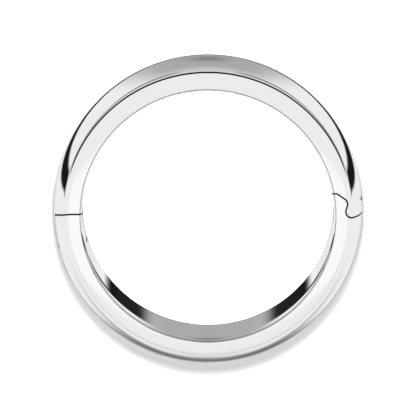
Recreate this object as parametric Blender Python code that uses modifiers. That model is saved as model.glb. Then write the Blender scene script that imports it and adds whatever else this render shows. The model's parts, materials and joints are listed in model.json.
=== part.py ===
"""Hinged band ring: a domed finger ring in two halves, with a hidden hinge and a hooked catch.

The ring lies on its side. Its finger axis is +Z, its lower side face lies on z = 0, and the
origin is the centre of that face. Seen from above, the hinge is at -X, the catch is at +X,
the fixed upper half is at +Y and the opening lower half is at -Y.
Sizes are in metres, through the MM factor.
"""

import math

import bmesh
import bpy
from mathutils import Vector

MM = 0.001

# Ring section
BORE_DIAMETER = 17.3 * MM
CREST_DIAMETER = 21.28 * MM
BAND_WIDTH = 7.0 * MM
FLAT_FACE_DIAMETER = 19.02 * MM
OUTER_EDGE_RADIUS = 0.55 * MM
BORE_EDGE_RADIUS = 0.25 * MM

# Hinge: a pin along Z through a tongue of the upper half and two cheeks of the lower half
HINGE_X = -9.42 * MM
HINGE_Y = -1.72 * MM
SHOULDER_RADIUS = 1.84 * MM
TONGUE_WIDTH = 2.2 * MM
TONGUE_END_RADIUS = 1.08 * MM
PIN_DIAMETER = 0.7 * MM
PIN_LENGTH = 5.0 * MM
PIN_CHAMFER = 0.08 * MM
PIN_CLEARANCE = 0.08 * MM

# Clearances between the two halves
SEAM_GAP = 0.3 * MM
TONGUE_GAP = 0.3 * MM

# Catch: corners of the seam's middle line, from the bore to the outside, with the radius
# that rounds each corner
CATCH_SEAM = (
    {"x": 8.00 * MM, "y": 0.98 * MM, "radius": 0.0},
    {"x": 8.74 * MM, "y": 1.66 * MM, "radius": 0.34 * MM},
    {"x": 9.68 * MM, "y": 1.00 * MM, "radius": 0.40 * MM},
    {"x": 9.33 * MM, "y": -0.10 * MM, "radius": 0.48 * MM},
    {"x": 11.60 * MM, "y": -0.25 * MM, "radius": 0.0},
)

# Nail nick on the crest of the upper half, just above the catch
NICK_HEIGHT = 0.42 * MM
NICK_LENGTH = 1.6 * MM
NICK_DEPTH = 0.14 * MM
NICK_CENTRE_Y = 0.64 * MM

# Fineness of the facets
TURN_STEPS = 96
DOME_STEPS = 12
OUTER_EDGE_STEPS = 4
BORE_EDGE_STEPS = 2
SHOULDER_STEPS = 12
CATCH_STEPS = 6
TONGUE_STEPS = 20
PIN_SIDES = 24
NICK_SIDES = 24

# Worked-out sizes
BORE_RADIUS = BORE_DIAMETER / 2
CREST_RADIUS = CREST_DIAMETER / 2
FLAT_FACE_RADIUS = FLAT_FACE_DIAMETER / 2
MID_HEIGHT = BAND_WIDTH / 2
HINGE = Vector((HINGE_X, HINGE_Y))
SLOT_WIDTH = TONGUE_WIDTH + 2 * TONGUE_GAP
OUTSIDE = 1.5 * CREST_RADIUS

parts = bpy.data.collections.new("hinged_band_ring")
cutters = bpy.data.collections.new("cutters")


def arc(centre, radius, start, end, steps):
    """Points on a circle from one angle to another, in degrees, both ends included."""
    points = []
    for step in range(steps + 1):
        angle = math.radians(start + (end - start) * step / steps)
        points.append(Vector((centre[0] + radius * math.cos(angle),
                              centre[1] + radius * math.sin(angle))))
    return points


def polished_metal(name, colour, roughness):
    """A bright polished white metal."""
    material = bpy.data.materials.new(name)
    material.use_nodes = True
    surface = material.node_tree.nodes["Principled BSDF"]
    surface.inputs["Base Color"].default_value = (*colour, 1.0)
    surface.inputs["Metallic"].default_value = 1.0
    surface.inputs["Roughness"].default_value = roughness
    return material


def add_object(name, mesh, collection):
    """A new object in one of the two collections."""
    thing = bpy.data.objects.new(name, mesh)
    collection.objects.link(thing)
    return thing


def section_points():
    """The closed section of the band as (radius, height), down its outer side, up the bore."""
    half_chord = MID_HEIGHT - OUTER_EDGE_RADIUS
    sagitta = CREST_RADIUS - OUTER_EDGE_RADIUS - FLAT_FACE_RADIUS
    dome_radius = OUTER_EDGE_RADIUS + (half_chord ** 2 + sagitta ** 2) / (2 * sagitta)
    dome_angle = math.degrees(math.asin(half_chord / (dome_radius - OUTER_EDGE_RADIUS)))
    top_edge = (FLAT_FACE_RADIUS, BAND_WIDTH - OUTER_EDGE_RADIUS)
    low_edge = (FLAT_FACE_RADIUS, OUTER_EDGE_RADIUS)
    dome_centre = (CREST_RADIUS - dome_radius, MID_HEIGHT)
    low_bore = (BORE_RADIUS + BORE_EDGE_RADIUS, BORE_EDGE_RADIUS)
    top_bore = (BORE_RADIUS + BORE_EDGE_RADIUS, BAND_WIDTH - BORE_EDGE_RADIUS)
    points = arc(top_edge, OUTER_EDGE_RADIUS, 90, dome_angle, OUTER_EDGE_STEPS)
    points += arc(dome_centre, dome_radius, dome_angle, -dome_angle, DOME_STEPS)[1:]
    points += arc(low_edge, OUTER_EDGE_RADIUS, -dome_angle, -90, OUTER_EDGE_STEPS)[1:]
    points += arc(low_bore, BORE_EDGE_RADIUS, -90, -180, BORE_EDGE_STEPS)
    points += arc(top_bore, BORE_EDGE_RADIUS, 180, 90, BORE_EDGE_STEPS)
    return points


def turned_band(name, material):
    """The whole ring, turned round the finger axis."""
    points = section_points()
    count = len(points)
    mesh = bpy.data.meshes.new(name)
    mesh.from_pydata(
        [(point.x, 0.0, point.y) for point in points],
        [(index, (index + 1) % count) for index in range(count)],
        [],
    )
    mesh.materials.append(material)
    band = add_object(name, mesh, parts)
    turn = band.modifiers.new("turn", "SCREW")
    turn.axis = "Z"
    turn.angle = math.radians(360)
    turn.steps = TURN_STEPS
    turn.render_steps = TURN_STEPS
    turn.merge_threshold = 0.001 * MM
    turn.use_smooth_shade = True
    return band


def prism(name, outline, low, high):
    """A cutter: a flat outline that stands upright from one height to another."""
    curve = bpy.data.curves.new(name, "CURVE")
    curve.dimensions = "2D"
    curve.fill_mode = "BOTH"
    curve.extrude = (high - low) / 2
    spline = curve.splines.new("POLY")
    spline.points.add(len(outline) - 1)
    for point, place in zip(spline.points, outline):
        point.co = (place.x, place.y, 0.0, 1.0)
    spline.use_cyclic_u = True
    drawn = add_object(name + "_outline", curve, cutters)
    drawn.location.z = (high + low) / 2
    bpy.context.view_layer.update()

    evaluated = drawn.evaluated_get(bpy.context.evaluated_depsgraph_get())
    mesh = bpy.data.meshes.new_from_object(evaluated)
    shape = bmesh.new()
    shape.from_mesh(mesh)
    bmesh.ops.remove_doubles(shape, verts=shape.verts, dist=0.0001 * MM)
    bmesh.ops.recalc_face_normals(shape, faces=shape.faces)
    shape.to_mesh(mesh)
    shape.free()
    cutter = add_object(name, mesh, cutters)
    cutter.matrix_world = drawn.matrix_world.copy()
    bpy.data.objects.remove(drawn)
    return as_cutter(cutter)


def rod(name, radius, length, sides, place):
    """A round bar along Z, centred on a place."""
    bpy.ops.mesh.primitive_cylinder_add(vertices=sides, radius=radius, depth=length, location=place)
    bar = bpy.context.object
    bar.name = name
    for collection in bar.users_collection:
        collection.objects.unlink(bar)
    return bar


def as_cutter(thing):
    """Hides an object that only cuts others."""
    thing.hide_render = True
    thing.display_type = "WIRE"
    return thing


def cut(target, cutter, solver="EXACT"):
    """Takes the cutter's space out of a piece."""
    step = target.modifiers.new(cutter.name, "BOOLEAN")
    step.operation = "DIFFERENCE"
    step.solver = solver
    step.object = cutter


def left_normal(start, end):
    """The unit vector to the left of the way from start to end."""
    along = (end - start).normalized()
    return Vector((-along.y, along.x))


def turns_left(before, corner, after):
    """Whether the way through a corner bends to the left."""
    return (corner - before).cross(after - corner) > 0


def rounded_corner(before, corner, after, radius):
    """Points of the arc that rounds a corner between two straight stretches."""
    back = (before - corner).normalized()
    ahead = (after - corner).normalized()
    half_angle = back.angle(ahead) / 2
    centre = corner + (back + ahead).normalized() * (radius / math.sin(half_angle))
    first = corner + back * (radius / math.tan(half_angle)) - centre
    start = math.degrees(math.atan2(first.y, first.x))
    bend = 180 - math.degrees(2 * half_angle)
    if not turns_left(before, corner, after):
        bend = -bend
    return arc(centre, radius, start, start + bend, CATCH_STEPS)


def catch_line(shift):
    """The catch's seam from the bore to the outside, moved to its left by shift.

    The left is the upper half's side. A shift to the left makes a corner that bends left
    tighter, and one that bends right wider.
    """
    corners = [Vector((row["x"], row["y"])) for row in CATCH_SEAM]
    normals = [left_normal(start, end) for start, end in zip(corners, corners[1:])]
    moved = [corners[0] + normals[0] * shift]
    for corner, before, after in zip(corners[1:-1], normals, normals[1:]):
        moved.append(corner + (before + after) * (shift / (1 + before.dot(after))))
    moved.append(corners[-1] + normals[-1] * shift)

    line = [moved[0]]
    for row, before, corner, after in zip(CATCH_SEAM[1:-1], moved, moved[1:], moved[2:]):
        wider = -shift if turns_left(before, corner, after) else shift
        line += rounded_corner(before, corner, after, row["radius"] + wider)
    line.append(moved[-1])
    return line


def shoulder_line(shift):
    """The hinge's seam from the bore to the outside, moved by shift towards the upper half.

    It is flat from the bore to above the pin, then a round shoulder about the pin.
    """
    radius = SHOULDER_RADIUS + shift
    inner_end = Vector((-BORE_RADIUS / 2, HINGE.y + radius))
    return [inner_end] + arc(HINGE, radius, 90, 180, SHOULDER_STEPS)


def tongue_line(radius):
    """The way round the pin's lower side, from the bore to the outside."""
    inward = math.degrees(math.atan2(-HINGE.y, -HINGE.x))
    return arc(HINGE, radius, inward, inward - 180, TONGUE_STEPS)


def upper_band(material):
    """The fixed half: everything above the seams, with the hinge tongue in its middle."""
    band = turned_band("upper_band", material)

    below = [Vector((-OUTSIDE, -OUTSIDE)), Vector((OUTSIDE, -OUTSIDE))]
    below += reversed(catch_line(SEAM_GAP / 2))
    tongue = tongue_line(TONGUE_END_RADIUS)
    radial = HINGE.normalized()
    below.append(tongue[0] - radial * BORE_RADIUS / 2)
    below += tongue
    below.append(tongue[-1] + radial * BORE_RADIUS / 2)
    cut(band, prism("below_upper_band", below, -MID_HEIGHT, BAND_WIDTH + MID_HEIGHT))

    shoulder = shoulder_line(SEAM_GAP / 2)
    low_end = HINGE.y - 2 * SHOULDER_RADIUS
    beside = [Vector((shoulder[0].x, low_end))] + shoulder
    beside.append(Vector((-OUTSIDE, shoulder[-1].y)))
    beside.append(Vector((-OUTSIDE, low_end)))
    tongue_low = MID_HEIGHT - TONGUE_WIDTH / 2
    tongue_high = MID_HEIGHT + TONGUE_WIDTH / 2
    cut(band, prism("under_tongue", beside, -MID_HEIGHT, tongue_low))
    cut(band, prism("over_tongue", beside, tongue_high, BAND_WIDTH + MID_HEIGHT))

    cut(band, pin_hole("tongue_hole", 2 * TONGUE_WIDTH))
    cut(band, nail_nick())
    return band


def lower_band(material, hinge_axis):
    """The opening half: everything below the seams, with the slot for the tongue."""
    band = turned_band("lower_band", material)
    band.parent = hinge_axis
    band.location = (-HINGE.x, -HINGE.y, 0.0)

    above = [Vector((OUTSIDE, OUTSIDE)), Vector((-OUTSIDE, OUTSIDE))]
    shoulder = shoulder_line(-SEAM_GAP / 2)
    above.append(Vector((-OUTSIDE, shoulder[-1].y)))
    above += reversed(shoulder)
    above += catch_line(-SEAM_GAP / 2)
    cut(band, prism("above_lower_band", above, -MID_HEIGHT, BAND_WIDTH + MID_HEIGHT))

    slot = tongue_line(TONGUE_END_RADIUS + TONGUE_GAP)
    radial = HINGE.normalized()
    slot.insert(0, slot[0] - radial * BORE_RADIUS / 2)
    slot.append(slot[-1] + radial * BORE_RADIUS / 2)
    slot.append(Vector((slot[-1].x, BORE_RADIUS)))
    slot.append(Vector((slot[0].x, BORE_RADIUS)))
    slot_low = MID_HEIGHT - SLOT_WIDTH / 2
    slot_high = MID_HEIGHT + SLOT_WIDTH / 2
    cut(band, prism("tongue_slot", slot, slot_low, slot_high), solver="MANIFOLD")

    cut(band, pin_hole("cheek_holes", PIN_LENGTH + 2 * PIN_CLEARANCE))
    return band


def pin_hole(name, length):
    """The running hole for the pin."""
    radius = PIN_DIAMETER / 2 + PIN_CLEARANCE
    hole = rod(name, radius, length, PIN_SIDES, (HINGE.x, HINGE.y, MID_HEIGHT))
    cutters.objects.link(hole)
    return as_cutter(hole)


def nail_nick():
    """A scoop along the crest: a round bar laid along Z that dips into the dome."""
    radius = ((NICK_HEIGHT / 2) ** 2 + NICK_DEPTH ** 2) / (2 * NICK_DEPTH)
    place = (CREST_RADIUS - NICK_DEPTH + radius, NICK_CENTRE_Y, MID_HEIGHT)
    scoop = rod("nail_nick", radius, NICK_LENGTH, NICK_SIDES, place)
    cutters.objects.link(scoop)
    return as_cutter(scoop)


def hinge_pin(material, hinge_axis):
    """The plain pin, chamfered at both ends."""
    place = (0.0, 0.0, MID_HEIGHT)
    pin = rod("hinge_pin", PIN_DIAMETER / 2, PIN_LENGTH, PIN_SIDES, place)
    parts.objects.link(pin)
    pin.parent = hinge_axis
    pin.data.materials.append(material)
    chamfer = pin.modifiers.new("chamfer", "BEVEL")
    chamfer.width = PIN_CHAMFER
    chamfer.segments = 1
    chamfer.limit_method = "ANGLE"
    chamfer.angle_limit = math.radians(60)
    return pin


def hinge_guide():
    """The empty on the hinge's axis, which carries what swings."""
    empty = bpy.data.objects.new("hinge_axis", None)
    empty.location = (HINGE.x, HINGE.y, 0.0)
    empty.empty_display_size = MM
    parts.objects.link(empty)
    return empty


def main():
    """Clears the scene and builds the ring."""
    for thing in list(bpy.data.objects):
        bpy.data.objects.remove(thing)
    bpy.context.scene.collection.children.link(parts)
    bpy.context.scene.collection.children.link(cutters)

    hinge_axis = hinge_guide()
    upper_band(polished_metal("upper_band_metal", (0.83, 0.83, 0.84), 0.06))
    lower_band(polished_metal("lower_band_metal", (0.82, 0.82, 0.83), 0.06), hinge_axis)
    hinge_pin(polished_metal("hinge_pin_metal", (0.72, 0.72, 0.73), 0.15), hinge_axis)


main()
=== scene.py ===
"""Dresses the hinged band ring: two polished halves, the hinge pin, and a plain pale studio."""

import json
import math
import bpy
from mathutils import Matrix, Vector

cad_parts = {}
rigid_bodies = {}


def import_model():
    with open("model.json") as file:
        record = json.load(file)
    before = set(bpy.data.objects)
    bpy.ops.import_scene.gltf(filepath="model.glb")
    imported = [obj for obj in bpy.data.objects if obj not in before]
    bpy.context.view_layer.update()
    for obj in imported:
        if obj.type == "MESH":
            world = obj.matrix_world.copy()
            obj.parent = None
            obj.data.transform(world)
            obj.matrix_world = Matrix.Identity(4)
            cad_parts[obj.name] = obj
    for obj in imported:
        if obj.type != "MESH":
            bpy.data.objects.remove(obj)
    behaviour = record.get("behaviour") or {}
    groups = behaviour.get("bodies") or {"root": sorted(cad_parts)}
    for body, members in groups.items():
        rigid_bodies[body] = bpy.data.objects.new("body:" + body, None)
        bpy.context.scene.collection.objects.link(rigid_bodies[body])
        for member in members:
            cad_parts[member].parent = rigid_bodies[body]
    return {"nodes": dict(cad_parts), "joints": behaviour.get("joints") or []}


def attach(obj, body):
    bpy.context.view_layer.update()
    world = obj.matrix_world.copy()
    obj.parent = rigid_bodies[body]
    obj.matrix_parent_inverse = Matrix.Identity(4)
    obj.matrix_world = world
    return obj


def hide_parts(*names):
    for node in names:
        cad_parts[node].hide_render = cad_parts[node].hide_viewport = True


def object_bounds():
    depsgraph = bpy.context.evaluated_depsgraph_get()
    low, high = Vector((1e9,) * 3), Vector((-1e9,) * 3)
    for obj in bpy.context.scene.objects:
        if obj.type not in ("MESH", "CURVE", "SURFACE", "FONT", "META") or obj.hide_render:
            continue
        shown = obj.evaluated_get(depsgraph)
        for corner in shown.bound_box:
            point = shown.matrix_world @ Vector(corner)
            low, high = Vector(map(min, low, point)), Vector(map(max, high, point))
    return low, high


bl_info = {
    "name": "Hinged Band Ring",
    "version": (1, 0, 0),
    "blender": (4, 5, 0),
    "location": "3D View > Sidebar > Hinged Ring",
    "description": "A polished domed finger ring in two hinged halves, in a plain pale studio",
    "category": "Add Mesh",
}

import bmesh
import bpy
import numpy as np
from bpy.props import FloatProperty, FloatVectorProperty, PointerProperty
from mathutils import Matrix, Vector

for leftover in list(bpy.data.objects):
    bpy.data.objects.remove(leftover)
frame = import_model()
CAD_LOW, CAD_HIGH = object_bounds()
HINGE = Vector(frame["joints"][0]["pos_m"]).xy

MM = 0.001

# Fineness of the modelled surfaces
TURN_STEPS = 480
DOME_STEPS = 40
EDGE_STEPS = 14
FACE_STEPS = 6
BORE_EDGE_STEPS = 10
BORE_TURN_STEPS = 8
BORE_EASE_STEPS = 8
CORNER_STEPS = 16
PIN_SIDES = 48
NICK_TURN_STEPS = 64
NICK_LENGTH_STEPS = 48
FLOOR_CELLS = 8

# Far enough to be outside the ring, and how far a cutter round the pin runs on past the band
OUTSIDE = 2 * CAD_HIGH.x
RUN_ON = OUTSIDE / 4

# Points nearer than this become one, where the mirrored halves of the section meet and where
# two rounded corners meet
MIRROR_MERGE = 0.01 * MM
CORNER_MERGE = 0.001 * MM

# A corner's rounding stops a hair short of its full reach, so that two that meet don't cross
CORNER_REACH = 0.9999

# How far a facet may lie off the true surface, and how far it may lean, and still belong to it
SKIN_TOLERANCE = 0.004 * MM
SKIN_ALIGNMENT = 0.97

# How far past its ends an arc of the section still counts, and the distance that stands for
# not being on a surface at all
ARC_SLACK = math.radians(0.5)
FAR_OFF = 1.0

# How nearly two walls must face the same way to be shaded as one
WALL_ALIGNMENT = 0.9

# Catch: corners of the seam's middle line, from the bore to the outside, with the radius that
# rounds each corner
CATCH_CORNERS = (
    {"x": 8.00 * MM, "y": 0.98 * MM, "radius": 0.0},
    {"x": 8.74 * MM, "y": 1.66 * MM, "radius": 0.34 * MM},
    {"x": 9.68 * MM, "y": 1.00 * MM, "radius": 0.40 * MM},
    {"x": 9.33 * MM, "y": -0.10 * MM, "radius": 0.48 * MM},
    {"x": 11.60 * MM, "y": -0.25 * MM, "radius": 0.0},
)

# What the polished metal mirrors. Each card is laid over the ones before it. Its limits say
# where it fades in, from the first value to the second, in degrees: side is the bearing away
# from straight behind the ring, height is the elevation and turn is the angle away from
# straight behind. Spread is the side for each degree below SPREAD_TOP, and fan is the side for
# each degree above FAN_FOOT.
STUDIO_CARDS = (
    {"name": "near_apron", "light": 0.76,
     "limits": (("height", -8, -36), ("side", 112, 172))},
    {"name": "low_field", "light": 0.54,
     "limits": (("height", -16, -44), ("turn", 86, 58))},
    {"name": "near_floor", "light": 0.82,
     "limits": (("height", -3, -7), ("height", -17, -12), ("side", 30, 14))},
    {"name": "deep_floor", "light": 0.42,
     "limits": (("height", -27, -37), ("side", 75, 5))},
    {"name": "backdrop", "light": 0.42,
     "limits": (("height", 1, 6), ("fan", 0.72, 0.27), ("turn", 64, 38))},
    {"name": "backdrop_fold", "light": 0.25,
     "limits": (("height", 9, 17), ("height", 36, 24), ("side", 7, 0))},
    {"name": "horizon_middle", "light": 0.14,
     "limits": (("height", -3.5, -1.5), ("height", 7, 3), ("side", 13, 6))},
    {"name": "horizon", "light": 0.01,
     "limits": (("height", -3.4, -1.6), ("height", 5.5, 3.3), ("side", 3.5, 8), ("side", 84, 58))},
    {"name": "horizon_rise", "light": 0.015,
     "limits": (("height", -1, 0), ("height", 6.5, 3.5), ("side", 4, 8), ("side", 22, 12))},
    {"name": "floor_wedge", "light": 0.19,
     "limits": (("height", -7.5, -10.5), ("height", -37, -31), ("spread", 1.0, 0.4))},
    {"name": "arch_hairline", "light": 0.25,
     "limits": (("height", 5, 12), ("turn", 47.8, 48.6), ("turn", 50.8, 50.0), ("side", 12, 22))},
    {"name": "dark_arch", "light": 0.01,
     "limits": (("height", 3, 13), ("turn", 52.5, 57.5), ("turn", 96, 87))},
)
SPREAD_TOP = -6.0
FAN_FOOT = -14.0
LEAST_RISE = 0.1

# Light that the metal mirrors where no card is, and light that falls on everything else
OPEN_LIGHT = 0.90
ROOM_LIGHT = 0.58

# The lit card that hangs square to the reflected line of sight, in front of the side face: its
# half side, its distance, its shift down the picture, its light, and where its bright strip
# fades in across and along
CARD_HALF_SIDE = 30 * MM
CARD_DISTANCE = 35 * MM
CARD_SHIFT = -1.2 * MM
CARD_LIGHT = 1.02
CARD_FADES = (("Y", 6.0 * MM, 3.5 * MM), ("X", 29 * MM, 20 * MM))

# The soft box over the ring, which throws its soft shadow
SOFT_BOX_PLACE = (0.0, 37 * MM, 140 * MM)
SOFT_BOX_SIZE = 22 * MM
SOFT_BOX_ENERGY = 0.26

# The narrow lamp on the line of sight, which lights the floor inside the finger hole: its
# distance, the radius that it lights, its energy, the softness of its rim and its own radius
HOLE_FILL_DISTANCE = 400 * MM
HOLE_FILL_RADIUS = 9.7 * MM
HOLE_FILL_ENERGY = 7.0
HOLE_FILL_BLEND = 0.05
HOLE_FILL_SOURCE = 3 * MM

FLOOR_HALF_SIDE = 1.5


def linear(code):
    """An sRGB hex colour as linear red, green, blue and alpha."""
    channels = [int(code[index:index + 2], 16) / 255 for index in (1, 3, 5)]
    return [c / 12.92 if c <= 0.04045 else ((c + 0.055) / 1.055) ** 2.4 for c in channels] + [1.0]


class BandSizes(bpy.types.PropertyGroup):
    """Sizes of the band's section, hinge and seams."""

    band_width: FloatProperty(
        name="Band width", description="Width of the band along the finger",
        default=CAD_HIGH.z - CAD_LOW.z, unit="LENGTH", precision=6)
    crest_radius: FloatProperty(
        name="Crest radius", description="Outer radius at the top of the dome",
        default=CAD_HIGH.x, unit="LENGTH", precision=6)
    bore_radius: FloatProperty(
        name="Bore radius", description="Radius of the finger hole",
        default=8.65 * MM, unit="LENGTH", precision=6)
    face_radius: FloatProperty(
        name="Face radius", description="Radius where the side face starts to roll over",
        default=9.51 * MM, unit="LENGTH", precision=6)
    edge_radius: FloatProperty(
        name="Outer edge", description="Rounding between side face and dome",
        default=0.55 * MM, unit="LENGTH", precision=6)
    bore_edge_radius: FloatProperty(
        name="Bore edge", description="Rounding between side face and bore",
        default=0.06 * MM, unit="LENGTH", precision=6)
    bore_turn_radius: FloatProperty(
        name="Bore turn", description="Quicker curve between the bore's gentle curve and its edge",
        default=0.58 * MM, unit="LENGTH", precision=6)
    bore_turn_angle: FloatProperty(
        name="Bore turn angle", description="How far the bore leans where its edge begins",
        default=math.radians(40), subtype="ANGLE")
    bore_ease_radius: FloatProperty(
        name="Bore ease", description="Gentle curve of the bore some way before its edge",
        default=5.0 * MM, unit="LENGTH", precision=6)
    bore_ease_angle: FloatProperty(
        name="Bore ease angle", description="How far the bore leans where its gentle curve ends",
        default=math.radians(8), subtype="ANGLE")
    face_crown: FloatProperty(
        name="Face crown", description="How far the side face leans at its two edges",
        default=math.radians(2.5), subtype="ANGLE")
    seam_width: FloatProperty(
        name="Seam width", description="Visible gap between the closed halves",
        default=0.115 * MM, unit="LENGTH", precision=6)
    shoulder_radius: FloatProperty(
        name="Shoulder radius", description="Round shoulder of the hinge about its pin",
        default=1.84 * MM, unit="LENGTH", precision=6)
    tongue_gap: FloatProperty(
        name="Tongue gap", description="Gap between the hinge tongue and its slot",
        default=0.14 * MM, unit="LENGTH", precision=6)
    tongue_radius: FloatProperty(
        name="Tongue radius", description="Round end of the hinge tongue about its pin",
        default=1.08 * MM, unit="LENGTH", precision=6)
    tongue_width: FloatProperty(
        name="Tongue width", description="Width of the hinge tongue along the pin",
        default=2.2 * MM, unit="LENGTH", precision=6)
    pin_hole_radius: FloatProperty(
        name="Pin hole radius", description="Radius of the holes for the hinge pin",
        default=0.40 * MM, unit="LENGTH", precision=6)
    pin_hole_length: FloatProperty(
        name="Pin hole length", description="Length between the blind ends of the pin's holes",
        default=5.1 * MM, unit="LENGTH", precision=6)
    nick_height: FloatProperty(
        name="Nick height", description="Opening of the nail nick round the band",
        default=0.42 * MM, unit="LENGTH", precision=6)
    nick_length: FloatProperty(
        name="Nick length", description="Length of the nail nick along the finger",
        default=3.2 * MM, unit="LENGTH", precision=6)
    nick_depth: FloatProperty(
        name="Nick depth", description="Depth of the nail nick in the crest",
        default=0.22 * MM, unit="LENGTH", precision=6)
    nick_centre: FloatProperty(
        name="Nick place", description="Height of the nail nick above the ring's middle",
        default=0.84 * MM, unit="LENGTH", precision=6)


class BandColours(bpy.types.PropertyGroup):
    """Colours of the metal and the studio."""

    metal: FloatVectorProperty(
        name="Band metal", description="Polished silver of the two halves",
        default=linear("#F7F7F7"), size=4, subtype="COLOR")
    # Grey of the seams' walls and the nail nick: painted shade, so that the gaps between the halves
    # and the nick's hollow read dark
    sawn_painted_shade: FloatVectorProperty(
        name="Sawn metal", description="Dull metal on the seams' walls and in the nail nick",
        default=linear("#73716F"), size=4, subtype="COLOR")
    pin: FloatVectorProperty(
        name="Pin metal", description="Drawn wire of the hinge pin",
        default=linear("#D2D2D4"), size=4, subtype="COLOR")
    floor: FloatVectorProperty(
        name="Floor", description="Pale studio floor",
        default=linear("#EDEDED"), size=4, subtype="COLOR")


class StudioSettings(bpy.types.PropertyGroup):
    """How the ring is seen and lit."""

    tilt: FloatProperty(
        name="View tilt", description="Angle between the view and the finger axis",
        default=math.radians(9.3), subtype="ANGLE")
    frame_side: FloatProperty(
        name="Frame side", description="Real size that the square picture shows at the ring",
        default=28.7 * MM, unit="LENGTH", precision=6)
    lens: FloatProperty(
        name="Lens", description="Focal length in millimetres on a 36 mm sensor",
        default=1600.0)


def section_arcs(sizes):
    """The arcs of the section above mid width, from the crest to the bore.

    They are the dome, the outer edge, the crowned side face, the bore's edge, and the two
    curves that ease it into the straight bore. Each runs into the next without a corner. Each
    row has the arc's centre as (radius, height over mid width), its radius, and the angles
    where it starts and ends, counted from straight outwards towards straight up.
    """
    edge = sizes.edge_radius
    bore_edge = sizes.bore_edge_radius
    lean = sizes.face_crown
    turn = sizes.bore_turn_radius
    turn_lean = sizes.bore_turn_angle
    ease = sizes.bore_ease_radius
    ease_lean = sizes.bore_ease_angle
    turn_across = (turn - bore_edge) * math.cos(turn_lean)
    inner = sizes.bore_radius + ease - (ease - turn) * math.cos(ease_lean) - turn_across
    crown = ((sizes.face_radius - inner) / math.sin(lean) + edge + bore_edge) / 2
    crown_middle = inner + (crown - bore_edge) * math.sin(lean)
    crown_foot = sizes.band_width / 2 - crown
    edge_height = crown_foot + (crown - edge) * math.cos(lean)
    bore_height = crown_foot + (crown - bore_edge) * math.cos(lean)
    rise = sizes.crest_radius - edge - sizes.face_radius
    reach = (edge_height ** 2 + rise ** 2) / (2 * rise)
    dome = reach + edge
    dome_end = math.asin(edge_height / reach)
    upright = math.pi / 2
    turn_height = bore_height - (turn - bore_edge) * math.sin(turn_lean)
    ease_height = turn_height - (ease - turn) * math.sin(ease_lean)
    return (
        {"centre": (sizes.crest_radius - dome, 0.0), "radius": dome,
         "start": 0.0, "end": dome_end, "steps": DOME_STEPS},
        {"centre": (sizes.face_radius, edge_height), "radius": edge,
         "start": dome_end, "end": upright - lean, "steps": EDGE_STEPS},
        {"centre": (crown_middle, crown_foot), "radius": crown,
         "start": upright - lean, "end": upright + lean, "steps": FACE_STEPS},
        {"centre": (inner, bore_height), "radius": bore_edge,
         "start": upright + lean, "end": math.pi - turn_lean, "steps": BORE_EDGE_STEPS},
        {"centre": (inner + turn_across, turn_height), "radius": turn,
         "start": math.pi - turn_lean, "end": math.pi - ease_lean, "steps": BORE_TURN_STEPS},
        {"centre": (sizes.bore_radius + ease, ease_height), "radius": ease,
         "start": math.pi - ease_lean, "end": math.pi, "steps": BORE_EASE_STEPS},
    )


def turned_ring(sizes):
    """The whole ring: half its section drawn with spins, mirrored, and spun round the finger."""
    shape = bmesh.new()
    tip = shape.verts.new((sizes.crest_radius, 0.0, 0.0))
    for arc in section_arcs(sizes):
        drawn = bmesh.ops.spin(
            shape, geom=[tip], cent=(arc["centre"][0], 0.0, arc["centre"][1]),
            axis=(0.0, -1.0, 0.0), angle=arc["end"] - arc["start"], steps=arc["steps"])
        tip = drawn["geom_last"][0]
    wall = bmesh.ops.extrude_vert_indiv(shape, verts=[tip])
    wall["verts"][0].co.z = 0.0
    bmesh.ops.mirror(shape, geom=shape.verts[:] + shape.edges[:], axis="Z", merge_dist=MIRROR_MERGE)
    bmesh.ops.translate(shape, verts=shape.verts, vec=(0.0, 0.0, sizes.band_width / 2))
    bmesh.ops.spin(
        shape, geom=shape.verts[:] + shape.edges[:], cent=(0.0, 0.0, 0.0), axis=(0.0, 0.0, 1.0),
        angle=2 * math.pi, steps=TURN_STEPS, use_merge=True)
    bmesh.ops.recalc_face_normals(shape, faces=shape.faces)
    return shape


def shifted_catch(shift):
    """The catch's corner rows, moved towards the upper half by shift."""
    corners = [Vector((row["x"], row["y"])) for row in CATCH_CORNERS]
    normals = []
    for start, end in zip(corners, corners[1:]):
        along = (end - start).normalized()
        normals.append(Vector((-along.y, along.x)))
    rows = [(*(corners[0] + normals[0] * shift), 0.0)]
    for index in range(1, len(corners) - 1):
        before = normals[index - 1]
        after = normals[index]
        moved = corners[index] + (before + after) * (shift / (1 + before.dot(after)))
        wider = -shift if before.cross(after) > 0 else shift
        rows.append((*moved, CATCH_CORNERS[index]["radius"] + wider))
    rows.append((*(corners[-1] + normals[-1] * shift), 0.0))
    return rows


def knuckle_rows(radius):
    """Corner rows round the pin's lower side, from inside the bore to outside the crest."""
    inward = -HINGE.normalized()
    down = Vector((inward.y, -inward.x))
    reach = inward * RUN_ON
    inner = HINGE + inward * radius
    outer = HINGE - inward * radius
    return [
        (*(inner + reach), 0.0),
        (*inner, 0.0),
        (*(inner + down * radius), radius),
        (*(outer + down * radius), radius),
        (*outer, 0.0),
        (*(outer - reach), 0.0),
    ]


def shoulder_rows(radius):
    """Corner rows of the hinge's seam, from inside the bore to outside the crest."""
    return [
        (HINGE.x / 2, HINGE.y + radius, 0.0),
        (HINGE.x - radius, HINGE.y + radius, radius),
        (HINGE.x - radius, HINGE.y, 0.0),
        (-OUTSIDE, HINGE.y, 0.0),
    ]


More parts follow.
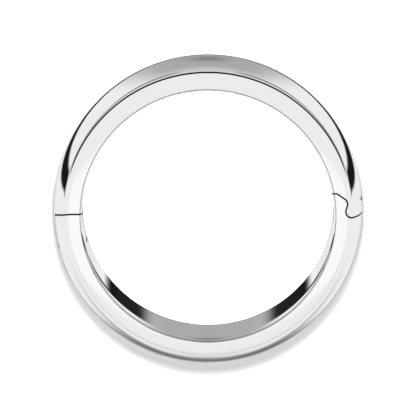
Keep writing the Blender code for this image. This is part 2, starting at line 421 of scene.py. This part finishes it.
def prism(rows, low, high):
    """An upright cutter over an outline of (x, y, radius) corner rows."""
    shape = bmesh.new()
    corners = [shape.verts.new((x, y, low)) for x, y, _ in rows]
    shape.faces.new(corners)
    count = len(rows)
    places = [Vector(row[:2]) for row in rows]
    for index, corner in enumerate(corners):
        radius = rows[index][2]
        if not radius:
            continue
        back = places[index - 1] - places[index]
        ahead = places[(index + 1) % count] - places[index]
        bmesh.ops.bevel(
            shape, geom=[corner], offset=radius / math.tan(back.angle(ahead) / 2) * CORNER_REACH,
            offset_type="OFFSET", segments=CORNER_STEPS, profile=0.5, affect="VERTICES",
            material=-1)
    bmesh.ops.remove_doubles(shape, verts=shape.verts, dist=CORNER_MERGE)
    raised = bmesh.ops.extrude_face_region(shape, geom=shape.faces[:], use_keep_orig=True)
    lifted = [item for item in raised["geom"] if isinstance(item, bmesh.types.BMVert)]
    bmesh.ops.translate(shape, verts=lifted, vec=(0.0, 0.0, high - low))
    bmesh.ops.recalc_face_normals(shape, faces=shape.faces)
    return shape


def pin_hole(sizes, length):
    """A round cutter on the hinge's axis."""
    shape = bmesh.new()
    bmesh.ops.create_cone(
        shape, cap_ends=True, segments=PIN_SIDES, radius1=sizes.pin_hole_radius,
        radius2=sizes.pin_hole_radius, depth=length,
        matrix=Matrix.Translation((HINGE.x, HINGE.y, sizes.band_width / 2)))
    return shape


def nick_scoop(sizes):
    """A long rounded scoop that dips into the crest and runs out at both ends."""
    half = sizes.nick_height / 2
    depth = sizes.nick_depth
    radius = (half ** 2 + depth ** 2) / (2 * depth)
    long_radius = sizes.nick_length / 2 * radius / half
    place = Matrix.Translation((
        sizes.crest_radius - depth + radius, sizes.nick_centre, sizes.band_width / 2))
    shape = bmesh.new()
    bmesh.ops.create_uvsphere(
        shape, u_segments=NICK_TURN_STEPS, v_segments=NICK_LENGTH_STEPS, radius=1.0,
        matrix=place @ Matrix.Diagonal((radius, radius, long_radius, 1.0)))
    return shape


def new_object(name, shape):
    """Makes an object of a bmesh, and frees the bmesh."""
    mesh = bpy.data.meshes.new(name)
    shape.to_mesh(mesh)
    shape.free()
    thing = bpy.data.objects.new(name, mesh)
    bpy.context.scene.collection.objects.link(thing)
    return thing


def carved(name, body, cutters):
    """The body with every cutter taken out of it, as one finished mesh."""
    piece = new_object(name, body)
    tools = []
    for index, cutter in enumerate(cutters):
        tool = new_object(f"{name}_cutter_{index}", cutter)
        step = piece.modifiers.new(tool.name, "BOOLEAN")
        step.operation = "DIFFERENCE"
        step.solver = "MANIFOLD"
        step.object = tool
        tools.append(tool)
    bpy.context.view_layer.update()
    evaluated = piece.evaluated_get(bpy.context.evaluated_depsgraph_get())
    mesh = bpy.data.meshes.new_from_object(evaluated)
    piece.modifiers.clear()
    piece.data = mesh
    mesh.name = name
    for tool in tools:
        bpy.data.objects.remove(tool)
    return piece


def true_surface(sizes, places):
    """For points near the ring, the true surface's unit normals and how far off it they lie."""
    radii = np.hypot(places[:, 0], places[:, 1])
    heights = places[:, 2] - sizes.band_width / 2
    side = np.where(heights < 0, -1.0, 1.0)
    heights = np.abs(heights)
    outward = -np.ones_like(radii)
    upward = np.zeros_like(radii)
    off = np.abs(radii - sizes.bore_radius)
    arcs = section_arcs(sizes)
    straight_end = arcs[-1]["centre"][1]
    off = np.where(heights <= straight_end + SKIN_TOLERANCE, off, FAR_OFF)
    for arc in arcs:
        across = radii - arc["centre"][0]
        along = heights - arc["centre"][1]
        distance = np.hypot(across, along)
        angle = np.arctan2(along, across)
        inside = (angle > arc["start"] - ARC_SLACK) & (angle < arc["end"] + ARC_SLACK)
        miss = np.where(inside, np.abs(distance - arc["radius"]), FAR_OFF)
        nearer = miss < off
        off = np.where(nearer, miss, off)
        outward = np.where(nearer, across / distance, outward)
        upward = np.where(nearer, along / distance, upward)
    normals = np.stack([
        outward * places[:, 0] / radii, outward * places[:, 1] / radii, upward * side], axis=1)
    return normals, off


def polish(piece, sizes):
    """Gives each face corner the normal of the true surface, so that reflections run clean.

    Faces that aren't part of the turned surface, such as the seams' walls, keep their own
    normals, blended only with neighbours that lean the same way, and get the second finish,
    whose grey is painted shade in the seams and the nail nick.
    """
    mesh = piece.data
    mesh.shade_smooth()
    count = len(mesh.vertices)
    places = np.empty(count * 3)
    mesh.vertices.foreach_get("co", places)
    places = places.reshape(-1, 3)
    face_normals = np.array([face.normal for face in mesh.polygons])
    centres = np.array([face.center for face in mesh.polygons])
    corner_points = np.empty(len(mesh.loops), int)
    mesh.loops.foreach_get("vertex_index", corner_points)
    corner_counts = [face.loop_total for face in mesh.polygons]
    corner_faces = np.repeat(np.arange(len(mesh.polygons)), corner_counts)

    true_normals, off = true_surface(sizes, places)
    centre_normals, centre_off = true_surface(sizes, centres)
    leaning = (face_normals * centre_normals).sum(axis=1)
    skin = (leaning > SKIN_ALIGNMENT) & (centre_off < SKIN_TOLERANCE)
    on_skin = skin[corner_faces] & (off[corner_points] < SKIN_TOLERANCE)

    walls_at = {}
    for point, face in zip(corner_points[~on_skin], corner_faces[~on_skin]):
        walls_at.setdefault(point, []).append(face_normals[face])
    normals = true_normals[corner_points]
    for corner in np.flatnonzero(~on_skin):
        own = face_normals[corner_faces[corner]]
        near = [other for other in walls_at[corner_points[corner]] if other @ own > WALL_ALIGNMENT]
        blended = np.sum(near, axis=0)
        normals[corner] = blended / np.linalg.norm(blended)
    mesh.normals_split_custom_set(normals)
    # Index 1 is the second finish: its grey paints shade onto the seams' walls and the nail nick
    mesh.polygons.foreach_set("material_index", np.where(skin, 0, 1).astype(int))


def add(tree, kind, inputs=None, **settings):
    """Adds a node with its settings, and sets or links its inputs."""
    node = tree.nodes.new(kind)
    for name, value in settings.items():
        setattr(node, name, value)
    for name, value in (inputs or {}).items():
        if isinstance(value, bpy.types.NodeSocket):
            tree.links.new(value, node.inputs[name])
        else:
            node.inputs[name].default_value = value
    return node


def bare_metal(name, colour):
    """A metal of one colour that still needs its finish, with its nodes and its surface."""
    material = bpy.data.materials.new(name)
    material.use_nodes = True
    tree = material.node_tree
    surface = tree.nodes["Principled BSDF"]
    surface.inputs["Base Color"].default_value = colour
    surface.inputs["Metallic"].default_value = 1.0
    return material, tree, surface


def buffed_silver(colour):
    """Silver, cast, filed and buffed on a wheel to a mirror, then cleaned.

    The eye gets sharp reflections with a breath of haze, in faint hairlines that run round
    the band the way the wheel did. Real buffing lines are a few hundredths of a millimetre
    apart; these are 0.15 mm, so that they show.
    """
    line_spacing = 0.15 * MM
    cloud_size = 2.5 * MM
    hairline_spacing = 0.35 * MM
    hairline_depth = 0.002 * MM
    clearest, haziest = 0.015, 0.05
    material, tree, surface = bare_metal("buffed_silver", colour)

    place = add(tree, "ShaderNodeTexCoord").outputs["Object"]
    split = add(tree, "ShaderNodeSeparateXYZ", {"Vector": place})
    flat = add(tree, "ShaderNodeCombineXYZ", {"X": split.outputs["X"], "Y": split.outputs["Y"]})
    radius = add(tree, "ShaderNodeVectorMath", {0: flat.outputs[0]}, operation="LENGTH")
    round_band = add(tree, "ShaderNodeCombineXYZ", {
        "X": radius.outputs["Value"], "Y": split.outputs["Z"], "Z": 0.0})
    lines = add(tree, "ShaderNodeTexNoise", {
        "Vector": round_band.outputs[0], "Scale": 1 / line_spacing,
        "Detail": 3.0, "Roughness": 0.6})
    clouds = add(tree, "ShaderNodeTexNoise", {
        "Vector": place, "Scale": 1 / cloud_size, "Detail": 2.0, "Roughness": 0.5})
    haze = add(tree, "ShaderNodeMath", {0: lines.outputs["Fac"], 1: clouds.outputs["Fac"]},
               operation="MULTIPLY")
    roughness = add(tree, "ShaderNodeMapRange", {
        "Value": haze.outputs[0], "From Min": 0.1, "From Max": 0.4,
        "To Min": clearest, "To Max": haziest})
    tree.links.new(roughness.outputs["Result"], surface.inputs["Roughness"])
    hairlines = add(tree, "ShaderNodeTexNoise", {
        "Vector": round_band.outputs[0], "Scale": 1 / hairline_spacing, "Detail": 1.0})
    relief = add(tree, "ShaderNodeBump", {
        "Height": hairlines.outputs["Fac"], "Strength": 1.0, "Distance": hairline_depth})
    tree.links.new(relief.outputs[0], surface.inputs["Normal"])
    return material


def sawn_silver_painted_shade(colour):
    """Silver as the saw and file left it, rough with fine scratches, in a grey that is painted
    shade: it darkens the seams' gaps and the nail nick.

    The eye gets a dull dark grey with fine scratches.
    """
    scratch_spacing = 0.04 * MM
    smoothest, roughest = 0.55, 0.8
    # The grey colour is painted shade in the gaps; the roughness and scratches are the real saw-cut
    # finish
    material, tree, surface = bare_metal("sawn_silver_painted_shade", colour)
    place = add(tree, "ShaderNodeTexCoord").outputs["Object"]
    scratches = add(tree, "ShaderNodeTexNoise", {
        "Vector": place, "Scale": 1 / scratch_spacing, "Detail": 2.0})
    roughness = add(tree, "ShaderNodeMapRange", {
        "Value": scratches.outputs["Fac"], "To Min": smoothest, "To Max": roughest})
    tree.links.new(roughness.outputs["Result"], surface.inputs["Roughness"])
    return material


def drawn_wire(colour):
    """Silver wire, drawn through a plate and cut.

    The eye gets a satin shine with fine lines along the wire, twenty times as long as wide.
    """
    line_spacing = 0.05 * MM
    stretch = 0.05
    smoothest, roughest = 0.2, 0.38
    material, tree, surface = bare_metal("drawn_wire", colour)
    place = add(tree, "ShaderNodeTexCoord").outputs["Object"]
    drawn = add(tree, "ShaderNodeMapping", {"Vector": place, "Scale": (1.0, 1.0, stretch)})
    lines = add(tree, "ShaderNodeTexNoise", {
        "Vector": drawn.outputs[0], "Scale": 1 / line_spacing, "Detail": 2.0})
    roughness = add(tree, "ShaderNodeMapRange", {
        "Value": lines.outputs["Fac"], "To Min": smoothest, "To Max": roughest})
    tree.links.new(roughness.outputs["Result"], surface.inputs["Roughness"])
    return material


def matt_floor(colour):
    """A sheet of pale matt card: no shine, and only a faint unevenness in its white."""
    mottle_size = 8 * MM
    palest, full = 0.985, 1.0
    material = bpy.data.materials.new("matt_card")
    material.use_nodes = True
    tree = material.node_tree
    surface = tree.nodes["Principled BSDF"]
    surface.inputs["Roughness"].default_value = 0.9
    surface.inputs["Specular IOR Level"].default_value = 0.1
    place = add(tree, "ShaderNodeTexCoord").outputs["Object"]
    mottle = add(tree, "ShaderNodeTexNoise", {"Vector": place, "Scale": 1 / mottle_size})
    shade = add(tree, "ShaderNodeMapRange", {
        "Value": mottle.outputs["Fac"], "To Min": palest, "To Max": full})
    tint = add(tree, "ShaderNodeMix", {"Factor": 1.0, 6: colour},
               data_type="RGBA", blend_type="MULTIPLY")
    tree.links.new(shade.outputs["Result"], tint.inputs[7])
    tree.links.new(tint.outputs[2], surface.inputs["Base Color"])
    return material


def finish_band(piece, colours):
    """Gives a half its two finishes: buffed outside, and rough from the saw in the seams and the
    nick, in a grey that is painted shade.
    """
    materials = piece.data.materials
    materials.clear()
    materials.append(bpy.data.materials.get("buffed_silver") or buffed_silver(colours.metal))
    # The second material's grey is painted shade on the walls of the seams and the nick
    materials.append(bpy.data.materials.get("sawn_silver_painted_shade") or sawn_silver_painted_shade(colours.sawn_painted_shade))


class RING_OT_upper_band(bpy.types.Operator):
    """Models the fixed upper half, with the hinge tongue, the outer hook and the nail nick"""

    bl_idname = "ring.upper_band"
    bl_label = "Upper Band"

    def execute(self, context):
        sizes = context.scene.band_sizes
        seam = sizes.seam_width / 2
        middle = sizes.band_width / 2
        below = [(-OUTSIDE, -OUTSIDE, 0.0), (OUTSIDE, -OUTSIDE, 0.0)]
        below += reversed(shifted_catch(seam))
        below += knuckle_rows(sizes.tongue_radius)
        beside = shoulder_rows(sizes.shoulder_radius + seam)
        under_hinge = HINGE.y - 2 * sizes.shoulder_radius
        beside += [(-OUTSIDE, under_hinge, 0.0), (HINGE.x / 2, under_hinge, 0.0)]
        piece = carved("upper_band_polished", turned_ring(sizes), [
            prism(below, -middle, 3 * middle),
            prism(beside, -middle, middle - sizes.tongue_width / 2),
            prism(beside, middle + sizes.tongue_width / 2, 3 * middle),
            pin_hole(sizes, 2 * sizes.tongue_width),
            nick_scoop(sizes),
        ])
        finish_band(piece, context.scene.band_colours)
        polish(piece, sizes)
        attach(piece, "upper")
        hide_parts("upper_band")
        return {"FINISHED"}


class RING_OT_lower_band(bpy.types.Operator):
    """Models the opening lower half, with the slot for the tongue and the inner hook"""

    bl_idname = "ring.lower_band"
    bl_label = "Lower Band"

    def execute(self, context):
        sizes = context.scene.band_sizes
        seam = sizes.seam_width / 2
        middle = sizes.band_width / 2
        above = [(OUTSIDE, OUTSIDE, 0.0), (-OUTSIDE, OUTSIDE, 0.0)]
        above += reversed(shoulder_rows(sizes.shoulder_radius - seam))
        above += shifted_catch(-seam)
        slot = knuckle_rows(sizes.tongue_radius + sizes.tongue_gap)
        slot += [(slot[-1][0], OUTSIDE / 2, 0.0), (slot[0][0], OUTSIDE / 2, 0.0)]
        half_slot = sizes.tongue_width / 2 + sizes.tongue_gap
        piece = carved("lower_band_polished", turned_ring(sizes), [
            prism(above, -middle, 3 * middle),
            prism(slot, middle - half_slot, middle + half_slot),
            pin_hole(sizes, sizes.pin_hole_length),
        ])
        finish_band(piece, context.scene.band_colours)
        polish(piece, sizes)
        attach(piece, "lower")
        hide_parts("lower_band")
        return {"FINISHED"}


class RING_OT_hinge_pin(bpy.types.Operator):
    """Finishes the hinge pin as drawn wire"""

    bl_idname = "ring.hinge_pin"
    bl_label = "Hinge Pin"

    def execute(self, context):
        pin = frame["nodes"]["hinge_pin"]
        pin.data.materials.clear()
        pin.data.materials.append(drawn_wire(context.scene.band_colours.pin))
        return {"FINISHED"}


def faded_cover(tree, limits):
    """The product of several fades, each of a value, from none at its start to full at its end."""
    cover = None
    for value, start, end in limits:
        fade = add(tree, "ShaderNodeMapRange", {
            "Value": value, "From Min": start, "From Max": end},
            interpolation_type="SMOOTHSTEP").outputs["Result"]
        if cover is None:
            cover = fade
        else:
            both = add(tree, "ShaderNodeMath", {0: cover, 1: fade}, operation="MULTIPLY")
            cover = both.outputs[0]
    return cover


def strip_card_paper():
    """White card, lit from behind: a bright strip across its middle, with soft edges."""
    material = bpy.data.materials.new("strip_card")
    material.use_nodes = True
    tree = material.node_tree
    tree.nodes.clear()
    place = add(tree, "ShaderNodeTexCoord").outputs["Object"]
    split = add(tree, "ShaderNodeSeparateXYZ", {"Vector": place})
    limits = []
    for axis, start, end in CARD_FADES:
        off = add(tree, "ShaderNodeMath", {0: split.outputs[axis]}, operation="ABSOLUTE")
        limits.append((off.outputs[0], start, end))
    cover = faded_cover(tree, limits)
    clear = add(tree, "ShaderNodeBsdfTransparent")
    glow = add(tree, "ShaderNodeEmission", {"Strength": CARD_LIGHT})
    mixed = add(tree, "ShaderNodeMixShader", {
        0: cover, 1: clear.outputs[0], 2: glow.outputs[0]})
    add(tree, "ShaderNodeOutputMaterial", {"Surface": mixed.outputs[0]})
    return material


def studio_world():
    """The studio round the ring: plain pale light, with the cards that the metal mirrors."""
    world = bpy.data.worlds.new("pale_studio")
    world.use_nodes = True
    tree = world.node_tree
    tree.nodes.clear()
    way = add(tree, "ShaderNodeTexCoord").outputs["Generated"]
    split = add(tree, "ShaderNodeSeparateXYZ", {"Vector": way})
    behind = add(tree, "ShaderNodeMath", {0: split.outputs["Z"], 1: -1.0}, operation="MULTIPLY")
    bearing = add(tree, "ShaderNodeMath", {0: split.outputs["X"], 1: behind.outputs[0]},
                  operation="ARCTAN2")
    side = add(tree, "ShaderNodeMath", {0: bearing.outputs[0]}, operation="ABSOLUTE")
    height = add(tree, "ShaderNodeMath", {0: split.outputs["Y"]}, operation="ARCSINE")
    turn = add(tree, "ShaderNodeMath", {0: behind.outputs[0]}, operation="ARCCOSINE")
    degrees = {}
    for name, angle in (("side", side), ("height", height), ("turn", turn)):
        node = add(tree, "ShaderNodeMath", {0: angle.outputs[0], 1: math.degrees(1)},
                   operation="MULTIPLY")
        degrees[name] = node.outputs[0]
    below = add(tree, "ShaderNodeMath", {0: SPREAD_TOP, 1: degrees["height"]}, operation="SUBTRACT")
    depth = add(tree, "ShaderNodeMath", {0: below.outputs[0], 1: LEAST_RISE}, operation="MAXIMUM")
    spread = add(tree, "ShaderNodeMath", {0: degrees["side"], 1: depth.outputs[0]},
                 operation="DIVIDE")
    degrees["spread"] = spread.outputs[0]
    above = add(tree, "ShaderNodeMath", {0: degrees["height"], 1: FAN_FOOT}, operation="SUBTRACT")
    rise = add(tree, "ShaderNodeMath", {0: above.outputs[0], 1: LEAST_RISE}, operation="MAXIMUM")
    fan = add(tree, "ShaderNodeMath", {0: degrees["side"], 1: rise.outputs[0]}, operation="DIVIDE")
    degrees["fan"] = fan.outputs[0]

    light = OPEN_LIGHT
    for card in STUDIO_CARDS:
        limits = [(degrees[name], start, end) for name, start, end in card["limits"]]
        laid = add(tree, "ShaderNodeMix", {
            "Factor": faded_cover(tree, limits), 2: light, 3: card["light"]},
            data_type="FLOAT", label=card["name"])
        light = laid.outputs[0]
    rays = add(tree, "ShaderNodeLightPath")
    mirrored = add(tree, "ShaderNodeMix", {
        "Factor": rays.outputs["Is Glossy Ray"], 2: ROOM_LIGHT, 3: light}, data_type="FLOAT")
    background = add(tree, "ShaderNodeBackground", {
        "Color": mirrored.outputs[0], "Strength": 1.0})
    add(tree, "ShaderNodeOutputWorld", {"Surface": background.outputs[0]})
    return world


def hung_lamp(name, kind, energy, place, target):
    """A lamp at a place, aimed at a target, that the polished metal doesn't mirror."""
    lamp = bpy.data.lights.new(name, kind)
    lamp.energy = energy
    light = bpy.data.objects.new(name, lamp)
    light.location = place
    light.rotation_euler = (target - place).to_track_quat("-Z", "Y").to_euler()
    light.visible_glossy = False
    bpy.context.scene.collection.objects.link(light)
    return lamp


class RING_OT_studio(bpy.types.Operator):
    """Lays the pale floor, and sets the soft light and the camera"""

    bl_idname = "ring.studio"
    bl_label = "Studio"

    def execute(self, context):
        scene = context.scene
        studio = scene.studio_settings
        scene.view_settings.view_transform = "Standard"
        scene.world = studio_world()

        shape = bmesh.new()
        bmesh.ops.create_grid(
            shape, x_segments=FLOOR_CELLS, y_segments=FLOOR_CELLS, size=FLOOR_HALF_SIDE)
        floor = new_object("studio_floor", shape)
        floor.data.materials.append(matt_floor(scene.band_colours.floor))
        floor.visible_glossy = False

        middle = Vector((0.0, 0.0, scene.band_sizes.band_width / 2))
        back = Vector((0.0, math.sin(studio.tilt), math.cos(studio.tilt)))
        soft_box = hung_lamp(
            "soft_box", "AREA", SOFT_BOX_ENERGY, Vector(SOFT_BOX_PLACE), middle)
        soft_box.shape = "DISK"
        soft_box.size = SOFT_BOX_SIZE
        hole_fill = hung_lamp(
            "hole_fill", "SPOT", HOLE_FILL_ENERGY, middle + back * HOLE_FILL_DISTANCE, middle)
        hole_fill.spot_size = 2 * math.atan(HOLE_FILL_RADIUS / HOLE_FILL_DISTANCE)
        hole_fill.spot_blend = HOLE_FILL_BLEND
        hole_fill.shadow_soft_size = HOLE_FILL_SOURCE

        shape = bmesh.new()
        bmesh.ops.create_grid(shape, x_segments=1, y_segments=1, size=CARD_HALF_SIDE)
        card = new_object("strip_card", shape)
        card.data.materials.append(strip_card_paper())
        toward = Vector((0.0, -math.sin(studio.tilt), math.cos(studio.tilt)))
        card.location = Vector((0.0, CARD_SHIFT, 2 * middle.z)) + toward * CARD_DISTANCE
        card.visible_camera = False
        card.visible_diffuse = False
        card.visible_shadow = False
        card.visible_transmission = False

        lens = bpy.data.cameras.new("camera")
        lens.sensor_width = 36.0
        lens.lens = studio.lens
        distance = studio.frame_side * studio.lens / lens.sensor_width
        camera = bpy.data.objects.new("camera", lens)
        camera.location = middle + back * distance
        camera.rotation_euler = (-studio.tilt, 0.0, 0.0)
        scene.collection.objects.link(camera)
        scene.camera = camera
        return {"FINISHED"}


class RING_PT_panel(bpy.types.Panel):
    """Lists the ring's pieces and sizes"""

    bl_idname = "RING_PT_panel"
    bl_label = "Hinged Ring"
    bl_space_type = "VIEW_3D"
    bl_region_type = "UI"
    bl_category = "Hinged Ring"

    def draw(self, context):
        for operator in OPERATORS:
            self.layout.operator(operator.bl_idname)
        for group in (context.scene.band_sizes, context.scene.band_colours,
                      context.scene.studio_settings):
            box = self.layout.box()
            for name in group.__annotations__:
                box.prop(group, name)


OPERATORS = (RING_OT_upper_band, RING_OT_lower_band, RING_OT_hinge_pin, RING_OT_studio)
GROUPS = (
    ("band_sizes", BandSizes),
    ("band_colours", BandColours),
    ("studio_settings", StudioSettings),
)


def register():
    """Registers the groups, operators and panel."""
    for name, group in GROUPS:
        bpy.utils.register_class(group)
        setattr(bpy.types.Scene, name, PointerProperty(type=group))
    for operator in OPERATORS:
        bpy.utils.register_class(operator)
    bpy.utils.register_class(RING_PT_panel)


def unregister():
    """Removes what register added."""
    bpy.utils.unregister_class(RING_PT_panel)
    for operator in reversed(OPERATORS):
        bpy.utils.unregister_class(operator)
    for name, group in reversed(GROUPS):
        delattr(bpy.types.Scene, name)
        bpy.utils.unregister_class(group)


def main():
    """Builds the ring and its studio."""
    register()
    bpy.ops.ring.upper_band()
    bpy.ops.ring.lower_band()
    bpy.ops.ring.hinge_pin()
    bpy.ops.ring.studio()


if __name__ == "__main__":
    main()
